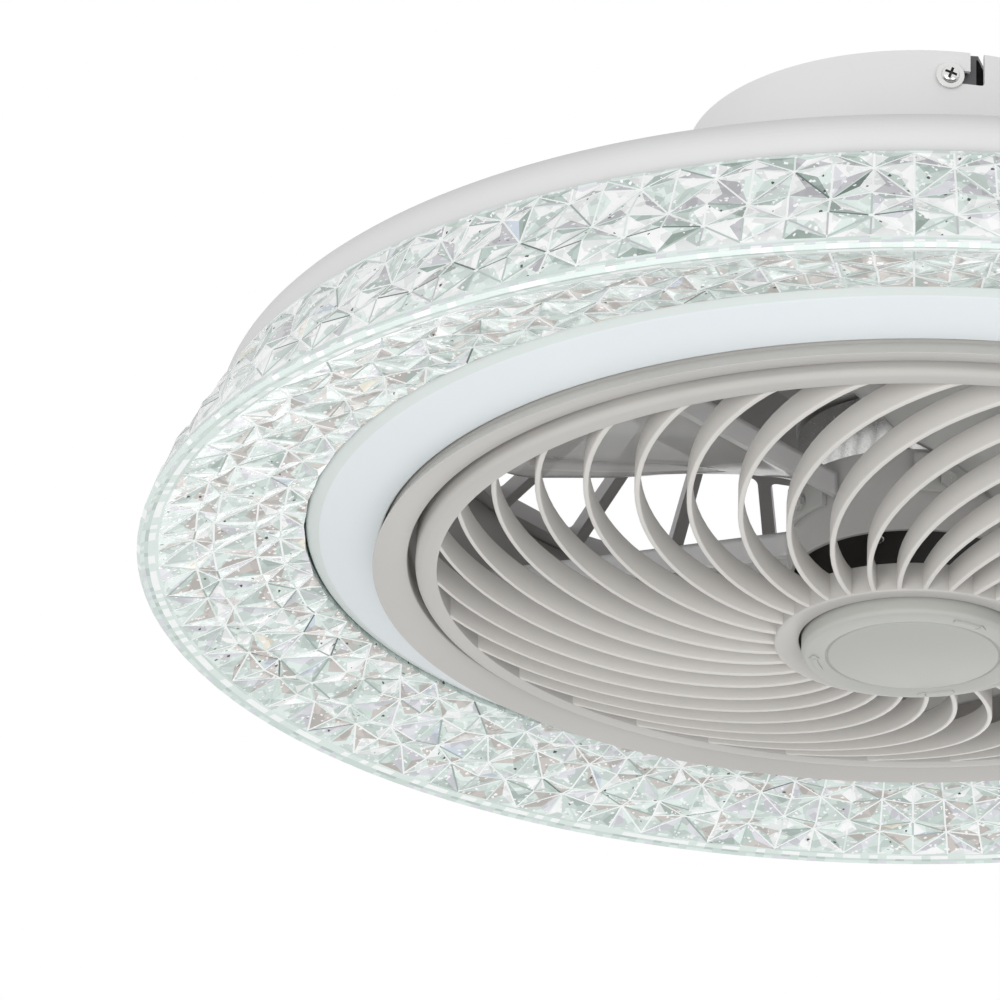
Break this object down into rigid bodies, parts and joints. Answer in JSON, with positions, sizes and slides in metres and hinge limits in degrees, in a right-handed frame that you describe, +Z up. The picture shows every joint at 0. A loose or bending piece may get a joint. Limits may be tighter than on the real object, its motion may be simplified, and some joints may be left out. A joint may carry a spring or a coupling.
{
  "type": "enclosed ceiling fan",
  "caption": "Flush ceiling fan enclosed behind a swept-rib grille, inside a ring light with a faceted clear crystal shade.",
  "frame": {"origin": "middle of the ceiling bracket's top face, which lies against the ceiling", "axes": "+Z up towards the ceiling along the fan's axis, which the rotor, the grille and the cap all turn about; -Y towards the side the picture looks from"},
  "size_m": [0.5, 0.5, 0.1804],
  "materials": {
    "white_paint": "satin white powder coat",
    "zinc_steel": "zinc-plated sheet",
    "grey_steel": "grey painted pressed sheet",
    "bright_steel": "bright plated steel",
    "dark_magnet": "dark coated magnet",
    "shroud_plastic": "matt grey-brown moulding",
    "greige_plastic": "satin warm grey moulding",
    "cap_plastic": "satin warm grey moulding",
    "motor_grey": "satin grey",
    "copper_coils": "wound core, enamelled",
    "milky_diffuser": "milky satin cover",
    "crystal_acrylic": "clear polished acrylic with cut facets",
    "smoky_blade": "clear smoky polished plastic",
    "circuit_board": "white solder mask",
    "box_white": "matt white",
    "box_black": "matt black",
    "lead_white": "insulated lead"
  },
  "bodies": {
    "fixed_body": {"ceiling_bracket": "zinc_steel", "canopy": "white_paint", "canopy_screw_1": "bright_steel", "canopy_screw_2": "bright_steel", "base_screw_1": "bright_steel", "base_screw_2": "bright_steel", "base_screw_3": "bright_steel", "led_driver": "box_white", "remote_receiver": "box_black", "terminal_block": "box_white", "mains_lead": "lead_white", "motor_lead": "lead_white", "chassis_plate": "grey_steel", "housing_shell": "white_paint", "air_shroud": "shroud_plastic", "led_tray": "zinc_steel", "tray_screw_1": "bright_steel", "tray_screw_2": "bright_steel", "tray_screw_3": "bright_steel", "led_board": "circuit_board", "diffuser": "milky_diffuser", "crystal_shade": "crystal_acrylic", "bezel_ring": "greige_plastic", "bezel_screw_1": "bright_steel", "bezel_screw_2": "bright_steel", "bezel_screw_3": "bright_steel", "motor_base": "motor_grey", "motor_screw_1": "bright_steel", "motor_screw_2": "bright_steel", "motor_screw_3": "bright_steel", "lower_bearing": "bright_steel", "upper_bearing": "bright_steel", "stator_core": "copper_coils"},
    "rotor": {"rotor_shell": "bright_steel", "magnet_ring": "dark_magnet", "motor_shaft": "bright_steel", "blade_hub": "motor_grey", "hub_screw_1": "bright_steel", "hub_screw_2": "bright_steel", "hub_screw_3": "bright_steel", "blade_1": "smoky_blade", "blade_2": "smoky_blade", "blade_3": "smoky_blade", "blade_4": "smoky_blade", "blade_5": "smoky_blade", "blade_screw_1": "bright_steel", "blade_screw_2": "bright_steel", "blade_screw_3": "bright_steel", "blade_screw_4": "bright_steel", "blade_screw_5": "bright_steel"},
    "front_grille": {"grille": "greige_plastic"},
    "cap": {"hub_cap": "cap_plastic"}
  },
  "joints": [
    {"name": "fan_spin", "type": "hinge", "parent": "fixed_body", "child": "rotor", "pos_m": [0, 0, -0.1452], "axis": [0, 0, 1], "continuous": true},
    {"name": "grille_twist", "type": "hinge", "parent": "fixed_body", "child": "front_grille", "pos_m": [0, 0, -0.1553], "axis": [0, 0, -1], "range_deg": [0, 12]},
    {"name": "cap_twist", "type": "hinge", "parent": "front_grille", "child": "cap", "pos_m": [0, 0, -0.1804], "axis": [0, 0, -1], "range_deg": [0, 20]}
  ]
}
